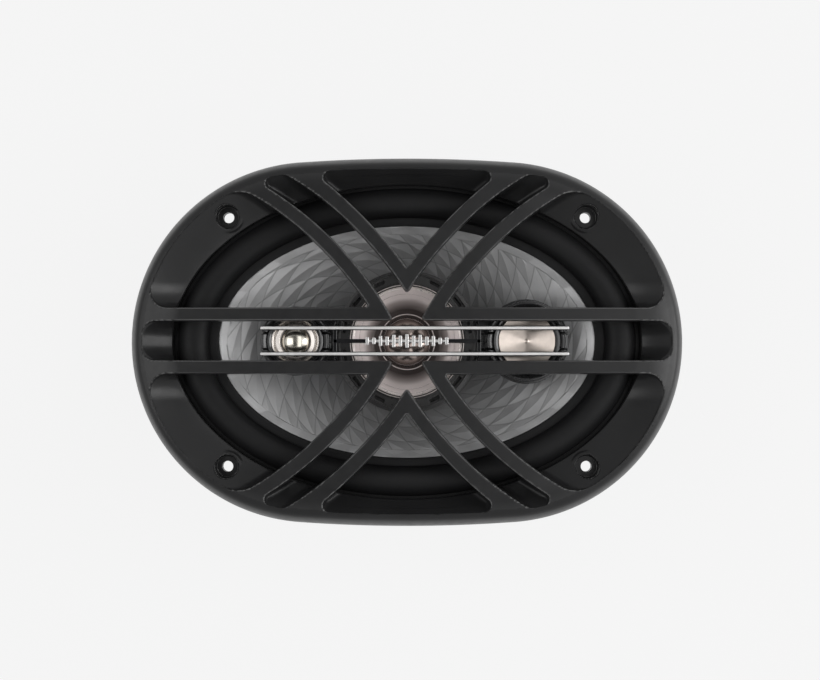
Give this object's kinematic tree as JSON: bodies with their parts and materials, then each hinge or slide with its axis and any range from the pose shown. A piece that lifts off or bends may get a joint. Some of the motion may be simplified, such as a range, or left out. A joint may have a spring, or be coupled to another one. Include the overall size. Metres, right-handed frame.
{
  "type": "coaxial car speaker",
  "caption": "Oval coaxial car speaker: large cone in a windowed basket, with a bridge of smaller drivers and a black ribbed grille over it.",
  "frame": {"origin": "centre of the four mounting screw holes, on the mounting plane, which is the back face of the basket flange", "axes": "+Z out of the front of the speaker, +X along the oval towards the larger of the two side drivers, +Y across it, away from the terminals"},
  "size_m": [0.245, 0.164, 0.0975],
  "materials": {
    "black_moulding": "satin black moulded plastic with a fine grain",
    "gloss_black": "glossy black plastic",
    "stamped_frame": "satin black powder coat",
    "black_rubber": "matt",
    "cone_film": "silver-grey metallised moulding",
    "collar_felt": "dark felt",
    "former_film": "amber film",
    "copper_wire": "enamelled copper",
    "spider_cloth": "resin-treated yellow cloth",
    "zinc_steel": "zinc plated",
    "ferrite": "dark ceramic ferrite",
    "neodymium": "nickel plated",
    "chrome_trim": "bright chrome",
    "rose_chrome": "rose-tinted metallised film",
    "capacitor_sleeve": "plain shrink sleeve",
    "board_phenolic": "brown phenolic board",
    "tinned_brass": "tinned",
    "tinsel_braid": "braided tinsel",
    "wire_sleeve": "plain insulation"
  },
  "bodies": {
    "frame": {"basket": "stamped_frame", "frame_gasket": "black_rubber", "surround": "black_rubber", "spider": "spider_cloth", "top_plate": "zinc_steel", "plate_screws": "zinc_steel", "magnet": "ferrite", "pole_yoke": "zinc_steel", "magnet_boot": "black_rubber", "bridge_post": "zinc_steel", "post_nut": "zinc_steel", "bridge": "black_moulding", "badge_bar": "gloss_black", "trim_strip_upper": "chrome_trim", "trim_strip_lower": "chrome_trim", "badge": "chrome_trim", "mid_ring": "black_moulding", "mid_bezel": "rose_chrome", "mid_surround": "rose_chrome", "mid_pole_plate": "zinc_steel", "mid_magnet": "neodymium", "mid_yoke": "zinc_steel", "tweeter_ring": "gloss_black", "tweeter_pole_plate": "zinc_steel", "tweeter_magnet": "neodymium", "tweeter_yoke": "zinc_steel", "super_bezel": "gloss_black", "super_reflector": "rose_chrome", "super_pole_plate": "zinc_steel", "super_magnet": "neodymium", "super_yoke": "zinc_steel", "capacitors": "capacitor_sleeve", "terminal_board": "board_phenolic", "terminal_positive": "tinned_brass", "terminal_negative": "tinned_brass", "terminal_rivets": "zinc_steel", "tinsel_lead_positive": "tinsel_braid", "tinsel_lead_negative": "tinsel_braid", "feed_wire_positive": "wire_sleeve", "feed_wire_negative": "wire_sleeve"},
    "grille": {"grille": "black_moulding"},
    "cone": {"woofer_cone": "cone_film", "dust_collar": "collar_felt", "voice_coil_former": "former_film", "voice_coil_winding": "copper_wire"},
    "mid_diaphragm": {"mid_cone": "rose_chrome", "mid_dust_cap": "rose_chrome", "mid_voice_coil": "copper_wire"},
    "tweeter_diaphragm": {"tweeter_diaphragm": "rose_chrome", "tweeter_voice_coil": "copper_wire"},
    "super_diaphragm": {"super_dome": "rose_chrome", "super_voice_coil": "copper_wire"}
  },
  "joints": [
    {"name": "grille_lift", "type": "slide", "parent": "frame", "child": "grille", "axis": [0, 0, 1], "range_m": [0, 0.06]},
    {"name": "cone_stroke", "type": "slide", "parent": "frame", "child": "cone", "axis": [0, 0, 1], "range_m": [-0.005, 0.005], "stiffness_N_per_m": 3600, "deforming": ["surround", "spider", "tinsel_lead_positive", "tinsel_lead_negative"]},
    {"name": "mid_stroke", "type": "slide", "parent": "frame", "child": "mid_diaphragm", "axis": [0, 0, 1], "range_m": [-0.0005, 0.0005], "stiffness_N_per_m": 1500, "deforming": ["mid_surround"]},
    {"name": "tweeter_stroke", "type": "slide", "parent": "frame", "child": "tweeter_diaphragm", "axis": [0, 0, 1], "range_m": [-0.0002, 0.0002], "stiffness_N_per_m": 1500},
    {"name": "super_tweeter_stroke", "type": "slide", "parent": "frame", "child": "super_diaphragm", "axis": [0, 0, 1], "range_m": [-0.00015, 0.00015], "stiffness_N_per_m": 1500}
  ]
}
